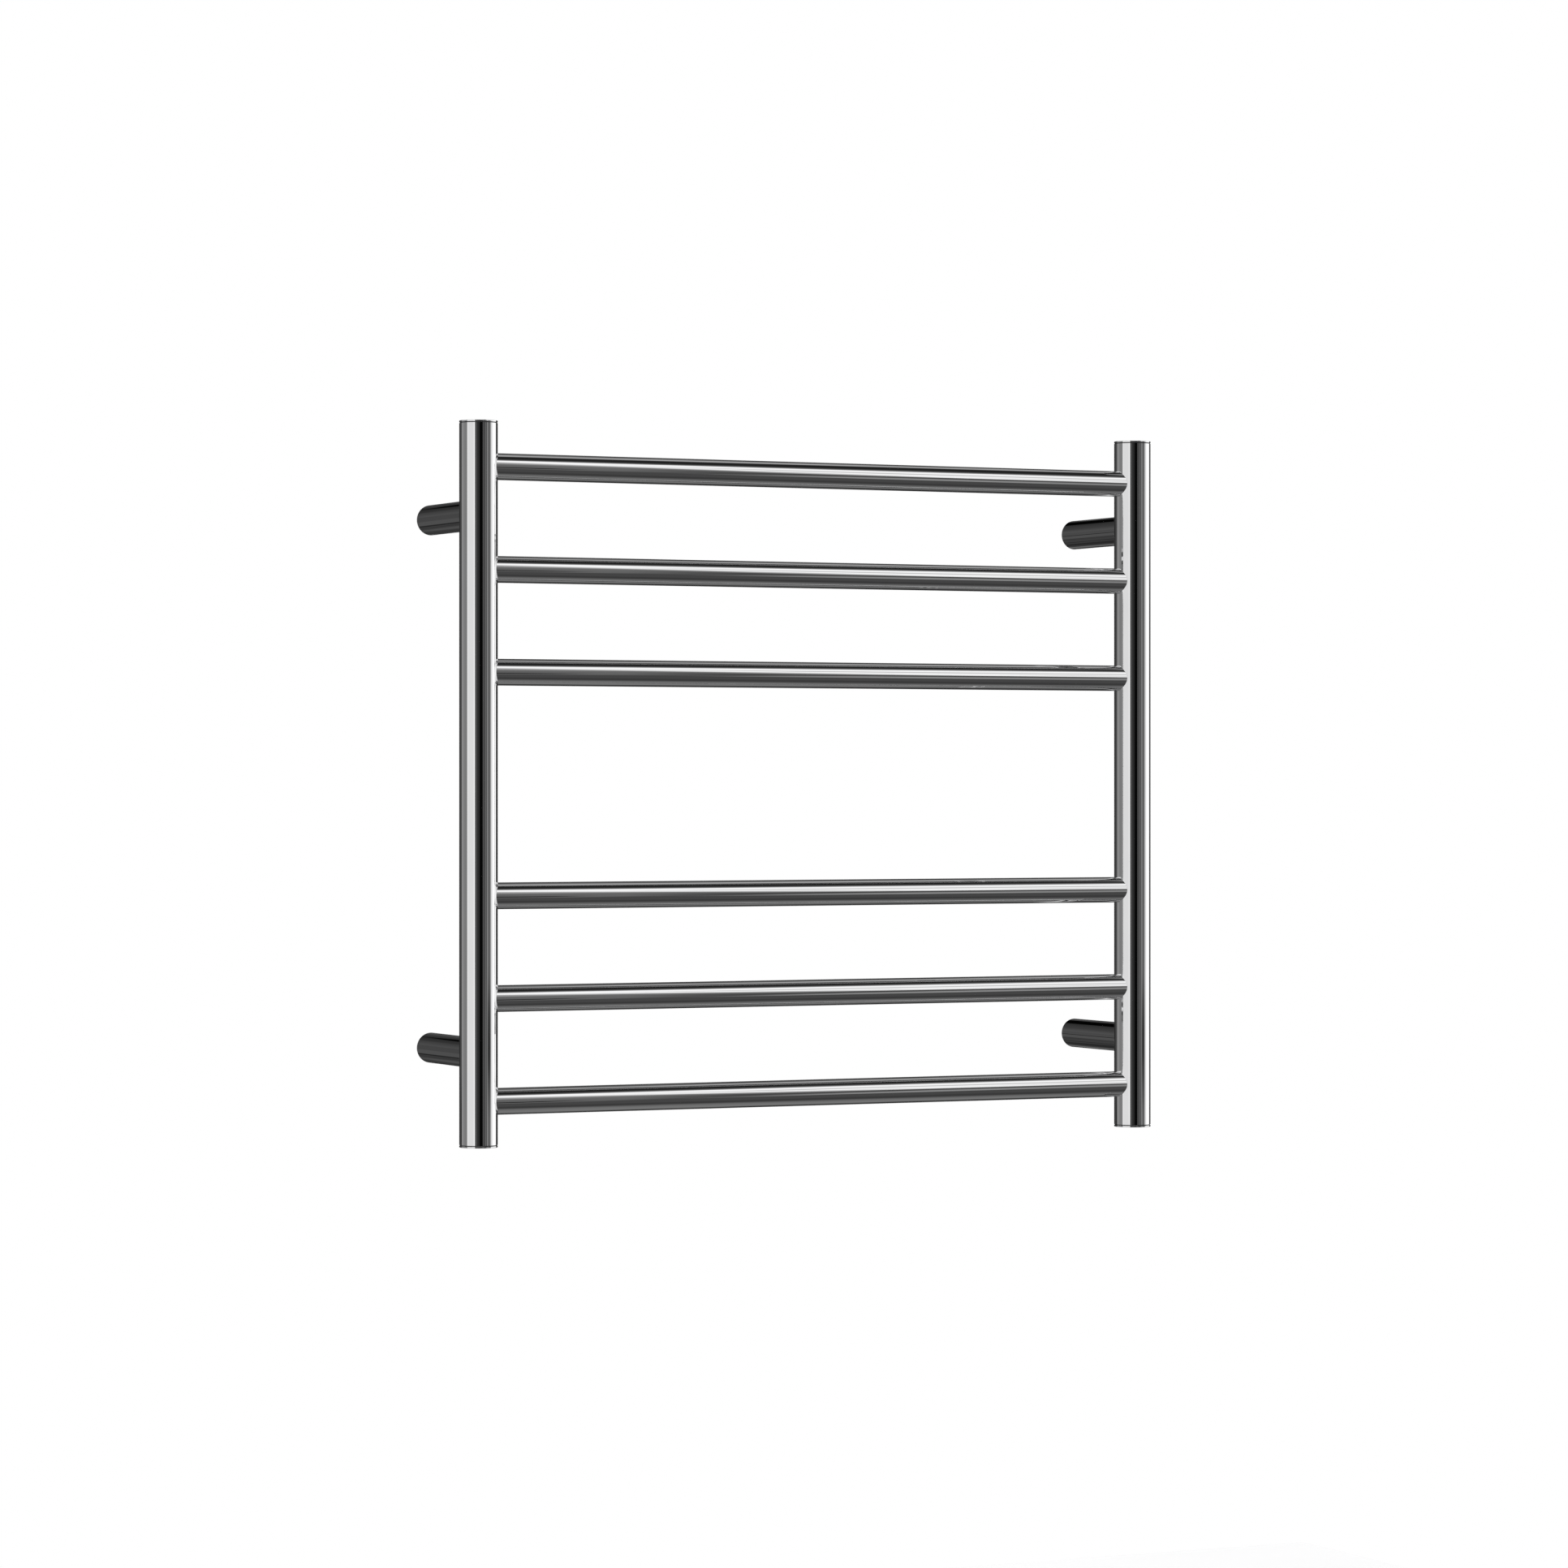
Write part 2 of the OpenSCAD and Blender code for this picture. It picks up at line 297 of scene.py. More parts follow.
def mix(tree, kind, factor, first, second):
    """One Mix node for numbers or colours. Each input is a socket or a value."""
    node = tree.nodes.new("ShaderNodeMix")
    node.data_type = kind
    *inputs, result = MIX_SOCKETS[kind]
    for place, value in zip(inputs, (factor, first, second)):
        feed(tree, node.inputs[place], value)
    return node.outputs[result]


def mix_base_colour(tree, shader, factor, first, second):
    """Sets the base colour between two colours, by a factor socket."""
    tree.links.new(mix(tree, "RGBA", factor, (*first, 1), (*second, 1)), shader.inputs["Base Color"])


def add_bump(tree, shader, height, distance, strength):
    """Bump from a height socket, over a distance in metres."""
    node = tree.nodes.new("ShaderNodeBump")
    node.inputs["Strength"].default_value = strength
    node.inputs["Distance"].default_value = distance
    tree.links.new(height, node.inputs["Height"])
    tree.links.new(node.outputs["Normal"], shader.inputs["Normal"])


# ---------------------------------------------------------------- materials

STEEL_LIGHT = (0.825, 0.825, 0.828)
STEEL_DARK = (0.775, 0.775, 0.78)
# Colours of the painted shade in the seam groove under each cap
SEAM_SHADE_LIGHT = (0.07, 0.07, 0.072)
SEAM_SHADE_DARK = (0.02, 0.02, 0.02)
EARTH_GREEN = (0.03, 0.30, 0.06)
EARTH_YELLOW = (0.85, 0.68, 0.03)
FLOOR_LIGHT = (0.92, 0.92, 0.92)
FLOOR_DARK = (0.88, 0.88, 0.885)
# Scale of the polishing lines along a tube, where 1 would be as fine as across it
LINE_STRETCH = 0.02
# How dark the mottled patches of satin steel are beside its own colour
MOTTLE_SHADE = 0.72
# Half the width of the line between the two colours of the earth wire
STRIPE_BLUR = 0.05 * MM


def polished_steel(name, axis):
    """Mirror-polished stainless tube: polishing lines along its axis, faint smears and hairlines."""
    material, tree, shader = node_material(name, STEEL_LIGHT, metallic=1.0, roughness=0.03)
    stretch = [1.0, 1.0, 1.0]
    stretch["XYZ".index(axis)] = LINE_STRETCH
    grain = noise(tree, object_space(tree, stretch), scale=900, detail=4, rough=0.6)
    smear = noise(tree, object_space(tree), scale=22, detail=5, rough=0.55, distortion=0.6)
    # Only the highest peaks of this noise make a hairline
    peaks = noise(tree, object_space(tree, stretch), scale=2600, detail=2)
    hairline = remap(tree, peaks, 0.70, 0.74, 0, 0.04)
    mix_base_colour(tree, shader, smear, STEEL_LIGHT, STEEL_DARK)
    gloss = remap(tree, smear, 0.35, 0.75, 0.015, 0.05, smooth=True)
    tree.links.new(arithmetic(tree, "ADD", gloss, hairline), shader.inputs["Roughness"])
    add_bump(tree, shader, grain, distance=0.004 * MM, strength=0.2)
    return material


def painted_seam_shade(name):
    """Painted shade for the groove under a cap: dark, dull steel that stands in for the shade at the bottom
    of the seam, with a random mottle.
    """
    material, tree, shader = node_material(name, SEAM_SHADE_LIGHT, metallic=0.6, roughness=0.6)
    seam_shade_mottle = noise(tree, object_space(tree), scale=700, detail=4)
    mix_base_colour(tree, shader, seam_shade_mottle, SEAM_SHADE_DARK, SEAM_SHADE_LIGHT)
    vary(tree, shader.inputs["Roughness"], seam_shade_mottle, 0.5, 0.75)
    add_bump(tree, shader, seam_shade_mottle, distance=0.02 * MM, strength=0.5)
    return material


def satin_steel(name, colour, metallic, roughness, line_scale):
    """Turned or zinc-plated steel with fine machining lines and a mottled surface."""
    material, tree, shader = node_material(name, colour, metallic, roughness[0])
    mottle = noise(tree, object_space(tree), scale=350, detail=5, rough=0.6)
    # Squeezed along Y, the axis that the bosses are turned round
    lines = noise(tree, object_space(tree, (1, 12, 1)), line_scale, detail=2)
    darker = tuple(MOTTLE_SHADE * part for part in colour)
    mix_base_colour(tree, shader, mottle, colour, darker)
    vary(tree, shader.inputs["Roughness"], mottle, *roughness)
    add_bump(tree, shader, lines, distance=0.03 * MM, strength=0.5)
    return material


def moulded(name, colour, worn, roughness, grain_scale, grain_depth):
    """Moulded plastic or rubber: fine grain, a little colour drift and dull patches."""
    material, tree, shader = node_material(name, colour, 0.0, roughness[0])
    space = object_space(tree)
    grain = noise(tree, space, grain_scale, detail=4, rough=0.65)
    drift = noise(tree, space, scale=60, detail=3)
    mix_base_colour(tree, shader, remap(tree, drift, NOISE_LOW, NOISE_HIGH, 0, 1), colour, worn)
    vary(tree, shader.inputs["Roughness"], grain, *roughness)
    add_bump(tree, shader, grain, distance=grain_depth, strength=0.6)
    return material


def brass(name, colour, tarnish):
    """Drawn brass or tinned brass with a little tarnish."""
    material, tree, shader = node_material(name, colour, metallic=1.0, roughness=0.25)
    patches = noise(tree, object_space(tree), scale=260, detail=6, rough=0.65, distortion=0.4)
    # Drawn out along Y
    grain = noise(tree, object_space(tree, (1, 0.05, 1)), scale=4000, detail=2)
    mix_base_colour(tree, shader, remap(tree, patches, 0.45, 0.75, 0, 1), colour, tarnish)
    vary(tree, shader.inputs["Roughness"], patches, 0.18, 0.42)
    add_bump(tree, shader, grain, distance=0.01 * MM, strength=0.5)
    return material


def earth_sheath(name, wire_x):
    """Green and yellow wire sheath: yellow on one side of the wire's own plane, green on the other."""
    material, tree, shader = node_material(name, EARTH_GREEN, metallic=0.0, roughness=0.4)
    split = tree.nodes.new("ShaderNodeSeparateXYZ")
    tree.links.new(object_space(tree), split.inputs["Vector"])
    side = remap(tree, split.outputs["X"], wire_x - STRIPE_BLUR, wire_x + STRIPE_BLUR, 0, 1)
    grain = noise(tree, object_space(tree), scale=1500, detail=3)
    mix_base_colour(tree, shader, side, EARTH_GREEN, EARTH_YELLOW)
    vary(tree, shader.inputs["Roughness"], grain, 0.32, 0.5)
    add_bump(tree, shader, grain, distance=0.01 * MM, strength=0.5)
    return material


def studio_floor_paint():
    """Pale matt floor with a trace of mottle."""
    material, tree, shader = node_material("studio_floor_paint", FLOOR_LIGHT, metallic=0.0, roughness=0.8)
    mottle = noise(tree, object_space(tree), scale=3, detail=5)
    mix_base_colour(tree, shader, mottle, FLOOR_LIGHT, FLOOR_DARK)
    return material


# ---------------------------------------------------------------- pieces

POST_R = size("post_left").x / 2
RUNG_R = size("rung_1").z / 2
LEG_R = size("leg_top_left").x / 2
BOSS_L = size("wall_boss_top_left").y
POST_X = centre("post_right").x
POST_Y = centre("rung_1").y
RUNG_HEIGHTS = [centre(node).z for node in RUNGS]
LEG_HEIGHTS = [centre(f"leg_{level}_left").z for level in ("top", "bottom")]
# How far a cutting tool reaches past the surface, and the play in comparing two places
TOOL_PAST = 1.0 * MM
TOLERANCE = 0.01 * MM

# The groove between a post and its cap: how far it reaches below and above the cap's seat, its depth, and
# the break of the edge over it
SEAM_BELOW = 0.25 * MM
SEAM_ABOVE = 0.4 * MM
SEAM_DEPTH = 0.6 * MM
SEAM_EDGE = 0.06 * MM


def post(node, material):
    """One post: a tube with a round hole for each rung and for each leg."""
    side = math.copysign(1, centre(node).x)
    place = Vector((side * POST_X, POST_Y, 0))
    half = size(node).z / 2 - SEAM_BELOW - SLIP
    outline = tube_outline(POST_R, POST_R - POST_WALL, -half, half)
    piece = new_piece(f"polished_{node}", turned(outline, TUBE_SEGMENTS), place)
    reach = POST_R + TOOL_PAST
    tools = []
    for height in RUNG_HEIGHTS:
        spot = place + Vector((-side * reach / 2, 0, height))
        tool = rod_outline(RUNG_R + SLIP, -reach / 2, reach / 2)
        tools.append(new_piece("tool", turned(tool, TUBE_SEGMENTS), spot, "X"))
    for height in LEG_HEIGHTS:
        spot = place + Vector((0, reach / 2, height))
        tool = rod_outline(LEG_R + SLIP, -reach / 2, reach / 2)
        tools.append(new_piece("tool", turned(tool, TUBE_SEGMENTS), spot, "Y"))
    cut(piece, tools)
    shade_round(piece, "Z")
    finish_piece(piece, node, material)


def rung(node, material):
    """One rung: a plain tube whose ends stand inside the posts."""
    half = size(node).x / 2
    outline = tube_outline(RUNG_R, RUNG_R - RUNG_WALL, -half, half)
    piece = new_piece(f"polished_{node}", turned(outline, TUBE_SEGMENTS), (0, POST_Y, centre(node).z), "X")
    shade(piece)
    finish_piece(piece, node, material)


# The round of a cap's rim, the thickness of its disc, its spigot's wall and the floor below the disc
CAP_ROUND = 0.3 * MM
CAP_ROUND_STEPS = 8
CAP_DISC = 1.7 * MM
CAP_SPIGOT_WALL = 2.2 * MM
CAP_FLOOR = 1.5 * MM


def cap(node, material, seam_shade_material):
    """One post cap: a disc with a rounded rim, standing on a narrower neck and a hollow spigot."""
    up = math.copysign(1, centre(node).z)
    height = size(node).z
    spigot_r = POST_R - POST_WALL - SLIP
    seat = height - CAP_DISC
    bore_r = spigot_r - CAP_SPIGOT_WALL
    neck_r = POST_R - SEAM_DEPTH
    below = seat - SEAM_BELOW
    above = seat + SEAM_ABOVE
    outline = [(0, seat - CAP_FLOOR), (bore_r, seat - CAP_FLOOR)]
    outline += [(bore_r, EDGE_BREAK), (bore_r + EDGE_BREAK, 0)]
    outline += [(spigot_r - EDGE_BREAK, 0), (spigot_r, EDGE_BREAK), (spigot_r, below)]
    outline += [(neck_r, below), (neck_r, above), (POST_R - SEAM_EDGE, above), (POST_R, above + SEAM_EDGE)]
    outline += arc(POST_R - CAP_ROUND, height - CAP_ROUND, CAP_ROUND, 0, 90, CAP_ROUND_STEPS)
    outline += [(0, height)]
    outline = [(radius, up * (level - height / 2)) for radius, level in outline]
    place = Vector((math.copysign(POST_X, centre(node).x), POST_Y, centre(node).z))
    piece = new_piece(f"polished_{node}", turned(outline, TUBE_SEGMENTS), place)
    shade(piece, SHARP_ROUNDED)
    finish_piece(piece, node, material)
    # The faces of the seam groove get the painted shade material, a dark stand-in for the shade inside the
    # groove
    piece.data.materials.append(seam_shade_material)
    for face in piece.data.polygons:
        reach = Vector((face.center.x, face.center.y)).length
        level = up * face.center.z + height / 2
        level_in_seam = below - TOLERANCE < level < above + TOLERANCE
        face.material_index = int(level_in_seam and spigot_r < reach < POST_R - SEAM_EDGE)


GRUB_R = 2.5 * MM
GRUB_Y = -BOSS_L / 2
# Countersink of a grub screw's hole in a leg
GRUB_RIM = 0.25 * MM


def leg(node, material):
    """One stand-off leg: a tube from the wall into the post, with the hole of its grub screw below."""
    half = size(node).y / 2
    middle = centre(node)
    outline = tube_outline(LEG_R, LEG_R - LEG_WALL, -half, half)
    piece = new_piece(f"polished_{node}", turned(outline, TUBE_SEGMENTS), middle, "Y")
    hole_r = GRUB_R + SLIP
    start = -LEG_R - TOOL_PAST
    hole = [(0, start), (hole_r + GRUB_RIM + TOOL_PAST, start), (hole_r, GRUB_RIM - LEG_R)]
    hole += [(hole_r, 0), (0, 0)]
    spot = Vector((middle.x, GRUB_Y, middle.z))
    cut(piece, [new_piece("tool", turned(hole, SMALL_SEGMENTS), spot)])
    shade_round(piece, "Y")
    finish_piece(piece, node, material)


SCREW_HOLE_R = 1.9 * MM
SCREW_HEAD_R = 3.4 * MM
SCREW_PITCH = 14.6 * MM
BOSS_BORE_R = 3.75 * MM
BOSS_EDGE = 0.6 * MM
BOSS_BACK_EDGE = 0.3 * MM
GRUB_SEAT_GAP = 0.2 * MM


def corner_of(node):
    """The corner's name at the end of a node's name."""
    return next(corner for corner in CORNERS if node.endswith(corner))


def wall_boss(node, material):
    """One wall boss: a turned plug with a bore, two countersunk screw holes and a grub screw seat."""
    radius = size(node).x / 2
    middle = centre(node)
    outline = [(0, -BOSS_L), (radius - BOSS_EDGE, -BOSS_L), (radius, BOSS_EDGE - BOSS_L)]
    outline += [(radius, -BOSS_BACK_EDGE), (radius - BOSS_BACK_EDGE, 0), (0, 0)]
    spot = Vector((middle.x, 0, middle.z))
    piece = new_piece(f"turned_{node}", turned(outline, SMALL_SEGMENTS), spot, "Y")
    tools = []
    bore = rod_outline(BOSS_BORE_R, -BOSS_L - TOOL_PAST, TOOL_PAST)
    tools.append(new_piece("tool", turned(bore, SMALL_SEGMENTS), spot, "Y"))
    sink = SCREW_HEAD_R - SCREW_HOLE_R
    for side in (-1, 1):
        hole = [(0, -BOSS_L - TOOL_PAST), (SCREW_HEAD_R + TOOL_PAST, -BOSS_L - TOOL_PAST)]
        hole += [(SCREW_HOLE_R, sink - BOSS_L), (SCREW_HOLE_R, TOOL_PAST), (0, TOOL_PAST)]
        shift = Vector((side * SCREW_PITCH / 2, 0, 0))
        tools.append(new_piece("tool", turned(hole, SMALL_SEGMENTS), spot + shift, "Y"))
    grub_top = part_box(f"grub_screw_{corner_of(node)}")[1].z - middle.z
    seat = rod_outline(GRUB_R + GRUB_SEAT_GAP, -radius - TOOL_PAST, grub_top + SLIP)
    tools.append(new_piece("tool", turned(seat, SMALL_SEGMENTS), Vector((middle.x, GRUB_Y, middle.z))))
    cut(piece, tools)
    shade(piece)
    finish_piece(piece, node, material)


THREAD_PITCH = 0.8 * MM
THREAD_DEPTH = 0.4 * MM
THREAD_LAND = 0.1 * MM
GRUB_CONE = 0.6 * MM
GRUB_CHAMFER = 0.35 * MM
# Hexagon socket, measured to its corners
HEX_R = 1.45 * MM
HEX_DEPTH = 2 * MM


def grub_screw(node, material):
    """One grub screw: thread grooves, a coned tip and a hexagon socket."""
    low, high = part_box(node)
    length = high.z - low.z
    root = GRUB_R - THREAD_DEPTH
    outline = [(0, 0), (GRUB_R - GRUB_CHAMFER, 0), (GRUB_R, GRUB_CHAMFER)]
    for turn in range(int((length - GRUB_CONE - GRUB_CHAMFER) / THREAD_PITCH)):
        start = GRUB_CHAMFER + turn * THREAD_PITCH
        outline += [(GRUB_R, start + THREAD_LAND), (root, start + THREAD_PITCH / 2)]
        outline += [(GRUB_R, start + THREAD_PITCH - THREAD_LAND)]
    outline += [(GRUB_R, length - GRUB_CONE), (GRUB_R - GRUB_CONE, length), (0, length)]
    spot = Vector((centre(node).x, GRUB_Y, low.z))
    piece = new_piece(f"cut_{node}", turned(outline, SMALL_SEGMENTS), spot)
    socket = rod_outline(HEX_R, -TOOL_PAST, HEX_DEPTH)
    cut(piece, [new_piece("tool", turned(socket, HEXAGON), spot)])
    shade(piece)
    finish_piece(piece, node, material)


CABLE_HOLE_R = 3.05 * MM
LIP_STEPS = 10


def cable_bush(node, material):
    """Rubber sleeve in the bore of the supply boss, with a rolled lip at each end."""
    length = size(node).y
    outer = size(node).x / 2
    roll = (outer - CABLE_HOLE_R) / 2
    middle_r = CABLE_HOLE_R + roll
    outline = arc(middle_r, roll - length, roll, 180, 360, LIP_STEPS)
    outline += arc(middle_r, -roll, roll, 0, 180, LIP_STEPS)
    spot = Vector((centre(node).x, 0, centre(node).z))
    piece = new_piece(f"moulded_{node}", turned(outline, SMALL_SEGMENTS), spot, "Y")
    shade(piece, SHARP_ROUNDED)
    finish_piece(piece, node, material)


def dress(node, material):
    """A CAD node whose shape is right keeps its mesh and gets a better material."""
    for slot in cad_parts[node].material_slots:
        slot.material = material


# ---------------------------------------------------------------- studio

# What the polished steel sees, in bands of (from, to, brightness at from, brightness at to). An azimuth
# of 0 is in front of the rack, 90 is to its right and 180 is behind the wall. The key softbox stands on
# the right, the fill softbox on the left, and black cloth hangs between them behind the camera. The rings
# are KEY at the top, LOW_KEY, the two halves of eye level, STEP and LOWER.
# These bands and the patches below were listed one by one, and adjusted against grey levels measured on the
# photograph's rungs, posts and legs. So they follow the reflections in that one picture, and the directions
# that it doesn't show are guesses. They light the scene and are no part of the rack.
EYE_LEFT = [
    (-180, -166, 0.02, 0.03), (-166, -150, 0.06, 0.08), (-150, -140.8, 0.09, 0.10),
    (-140.8, -133, 0.37, 0.34), (-133, -112, 0.31, 0.24), (-112, -97, 0.24, 0.23),
    (-97, -92.5, 0.40, 0.42), (-92.5, -87, 1.0, 1.0), (-87, -51, 0.87, 0.87), (-51, -43.5, 1.06, 1.06),
    (-43.5, -30.5, 0.09, 0.085), (-30.5, -15.5, 0.032, 0.026), (-15.5, -14, 0.004, 0.004),
]
EYE_RIGHT = [
    (-14, 0.5, 0.003, 0.003), (0.5, 4, 0.01, 0.01), (4, 9, 0.12, 0.12), (9, 13.5, 0.025, 0.025),
    (13.5, 23.2, 0.11, 0.135), (23.2, 24.5, 0.16, 0.16), (24.5, 29.5, 0.07, 0.095),
    (29.5, 34.5, 0.26, 0.28), (34.5, 40, 0.22, 0.22), (40, 46, 0.10, 0.10), (46, 53.2, 0.165, 0.165),
    (53.2, 58, 0.42, 0.42), (58, 64.5, 0.80, 0.80), (64.5, 71, 0.98, 0.98), (71, 105.5, 1.25, 1.25),
    (105.5, 180, 0.04, 0.03),
]
LOW_KEY = [
    (-180, -150, 0.06, 0.095), (-150, -141.5, 0.10, 0.10), (-141.5, -93, 0.36, 0.30),
    (-93, -43.5, 1.05, 1.05), (-43.5, 21, 0.008, 0.02), (21, 26.8, 0.17, 0.19), (26.8, 106, 1.10, 1.12),
    (106, 158, 0.10, 0.09), (158, 180, 0.09, 0.075),
]
KEY = [
    (-180, -150, 0.033, 0.085), (-150, -141.5, 0.10, 0.10), (-141.5, -93, 0.36, 0.30),
    (-93, -43.5, 1.1, 1.1), (-43.5, 20, 0.008, 0.02), (20, 26.6, 0.33, 0.40), (26.6, 29, 1.25, 1.22),
    (29, 85, 1.14, 1.14), (85, 106, 0.03, 0.03), (106, 158, 0.10, 0.09), (158, 180, 0.09, 0.033),
]
STEP = [
    (-180, -150, 0.09, 0.09), (-150, -141.5, 0.08, 0.08), (-141.5, -93, 0.30, 0.25),
    (-93, -43.5, 0.9, 0.9), (-43.5, 0, 0.03, 0.02), (0, 24.7, 0.08, 0.16), (24.7, 26.4, 0.07, 0.07),
    (26.4, 28.5, 0.33, 0.33), (28.5, 46, 0.27, 0.25), (46, 58, 0.12, 0.12), (58, 106, 1.0, 1.0),
    (106, 180, 0.05, 0.05),
]
LOWER = [
    (-180, -141.5, 0.05, 0.062), (-141.5, -93, 0.25, 0.20), (-93, -43.5, 0.85, 0.85),
    (-43.5, 0, 0.02, 0.02), (0, 22, 0.04, 0.05), (22, 55, 0.071, 0.071), (55, 85, 0.9, 0.9),
    (85, 106, 0.05, 0.05), (106, 180, 0.05, 0.05),
]
# Half the spread of each change between bands: at eye level, in the other rings and in the slanted bands
EYE_BLUR = 0.4
RING_BAND_BLUR = 0.6
SLANT_BLUR = 0.02
# Half the spread between the two halves of eye level
EYE_JOIN = 0.1
# Elevations where one ring of the studio gives way to the next, from the floor up
RING_STARTS = (-51, -16.8, -5, 7.5, 18, 45.3)
RING_BLUR = 0.6
# Bands of the ceiling and the floor, which run at an angle to the rack: a place is its distance towards
# the wall per unit of height, less a slant times its distance to the right beyond SLANT_START
CEILING_SLANT = 1.25
FLOOR_SLANT = 1.05
SLANT_START = 0.5
# The least height a direction is taken to have, so that level ones don't divide by zero
LEAST_HEIGHT = 0.05
CEILING = [
    (-3, -0.75, 0.6, 0.35), (-0.75, -0.5, 0.2, 0.06), (-0.5, -0.3, 0.045, 0.02),
    (-0.3, 0.06, 0.016, 0.02), (0.06, 0.2, 0.03, 0.08), (0.2, 0.5, 0.42, 0.45), (0.5, 1.1, 0.17, 0.14),
    (1.1, 3, 0.02, 0.02),
]
FLOOR_POOL = [
    (-3, -0.55, 0.05, 0.05), (-0.55, -0.15, 0.055, 0.165), (-0.15, 0.1, 0.175, 0.20),
    (0.1, 0.45, 0.21, 0.21), (0.45, 1.3, 0.215, 0.13), (1.3, 3, 0.03, 0.03),
]
# Softboxes, flags and lines that stand in front of those bands, each a soft-edged patch:
# (azimuth, elevation, half width, half height, blur across, blur up, brightness, cover)
PATCHES = [
    # Softboxes: one in front, two behind, one high and one low behind, and one overhead
    (-14, 28, 26, 16, 1, 1, 1.05, 1), (123, 26, 15, 16, 1, 1, 1.0, 1), (-121, 25, 18, 16, 1, 1, 1.0, 1),
    (185, 48, 24, 12, 1, 1, 0.9, 1), (185, -46, 24, 13, 1, 1, 0.5, 1), (0, 85, 180, 15, 1, 1, 1.0, 1),
    # Fill below the front softbox
    (-14, -30, 26, 14, 1, 1, 0.35, 1),
    # Black flag behind the rack, just right of its middle
    (173, 28, 10.5, 6.1, 0.5, 0.15, 0, 0.97),
    # Seams of the key softbox
    (57, 28.8, 28.5, 4, 0.5, 0.5, 0, 0.4), (57, 16.3, 27.5, 2.2, 0.5, 0.5, 0, 0.35),
    # Shade above eye level behind the rack
    (180, 25, 45, 12, 5, 5, 0, 0.25),
    # Lines behind the rack, from the highest down
    (-150, -4.2, 4.5, 0.9, 1, 0.3, 0, 0.8), (180, -16.3, 45, 1.4, 5, 0.3, 0, 0.4),
    (-168, -16.5, 9, 1.2, 3, 0.3, 0, 0.5), (180, -19.8, 45, 0.5, 5, 0.3, 0, 0.3),
    (180, -26, 45, 0.7, 5, 0.3, 0, 0.5), (180, -28.9, 45, 0.6, 5, 0.3, 0, 0.5),
    # Two low windows behind the rack
    (180, -22.5, 6, 0.8, 2, 0.3, 0.085, 1), (162, -22.7, 6, 3, 1, 0.5, 0.15, 1),
    # Shadow line in front on the right, a stand and a dark slot
    (45, -46, 45, 5, 5, 0.5, 0, 0.27), (44, -2.8, 11, 0.5, 3, 0.4, 0, 0.7),
    (15, -9.3, 8.6, 3, 0.3, 0.5, 0, 0.95),
]
# Brightness of the surroundings to the camera, and of the soft light
BACKGROUND = 1.0
SOFT_LIGHT = 1.15


def bands(tree, value, rows, blur):
    """Brightness in crisp bands along a value, with each change spread over twice the blur."""
    stops = []
    for start, end, at_start, at_end in rows:
        stops += [(start + blur, at_start), (end - blur, at_end)]
    return ramp(tree, value, stops, rows[0][0], rows[-1][1])


def ramp(tree, value, stops, low, high):
    """Brightness by a row of stops along a value."""
    node = tree.nodes.new("ShaderNodeValToRGB")
    tree.links.new(remap(tree, value, low, high, 0, 1), node.inputs["Fac"])
    elements = node.color_ramp.elements
    # A ramp starts with two stops. Where the added ones stand is set below.
    while len(elements) < len(stops):
        elements.new(0.5)
    for element, (position, level) in zip(elements, stops):
        element.position = (position - low) / (high - low)
        element.color = (level, level, level, 1)
    return node.outputs["Color"]


def window(tree, value, half, blur):
    """1 within half of 0, falling softly to 0 outside it."""
    return remap(tree, arithmetic(tree, "ABSOLUTE", value), half - blur, half + blur, 1, 0, smooth=True)


def facing(tree, x, y, azimuth):
    """Angle of a direction away from an azimuth, in degrees, positive to the right."""
    sine, cosine = math.sin(math.radians(azimuth)), math.cos(math.radians(azimuth))
    x_across, y_across = arithmetic(tree, "MULTIPLY", x, cosine), arithmetic(tree, "MULTIPLY", y, sine)
    x_along, y_along = arithmetic(tree, "MULTIPLY", x, sine), arithmetic(tree, "MULTIPLY", y, cosine)
    across = arithmetic(tree, "ADD", x_across, y_across)
    along = arithmetic(tree, "SUBTRACT", x_along, y_along)
    return arithmetic(tree, "DEGREES", arithmetic(tree, "ARCTAN2", across, along))


def patch(tree, azimuth, elevation, half_across, half_up, blur_across, blur_up):
    """1 inside a soft-edged patch of the studio, 0 outside it, by angles from its middle."""
    across = window(tree, azimuth, half_across, blur_across)
    return arithmetic(tree, "MULTIPLY", across, window(tree, elevation, half_up, blur_up))


def slanted(tree, x, y, z, slant):
    """Where a direction meets the ceiling or the floor, measured across their slanted bands."""
    height = arithmetic(tree, "MAXIMUM", arithmetic(tree, "ABSOLUTE", z), LEAST_HEIGHT)
    to_wall = arithmetic(tree, "DIVIDE", y, height)
    to_right = arithmetic(tree, "SUBTRACT", arithmetic(tree, "DIVIDE", x, height), SLANT_START)
    return arithmetic(tree, "SUBTRACT", to_wall, arithmetic(tree, "MULTIPLY", to_right, slant))


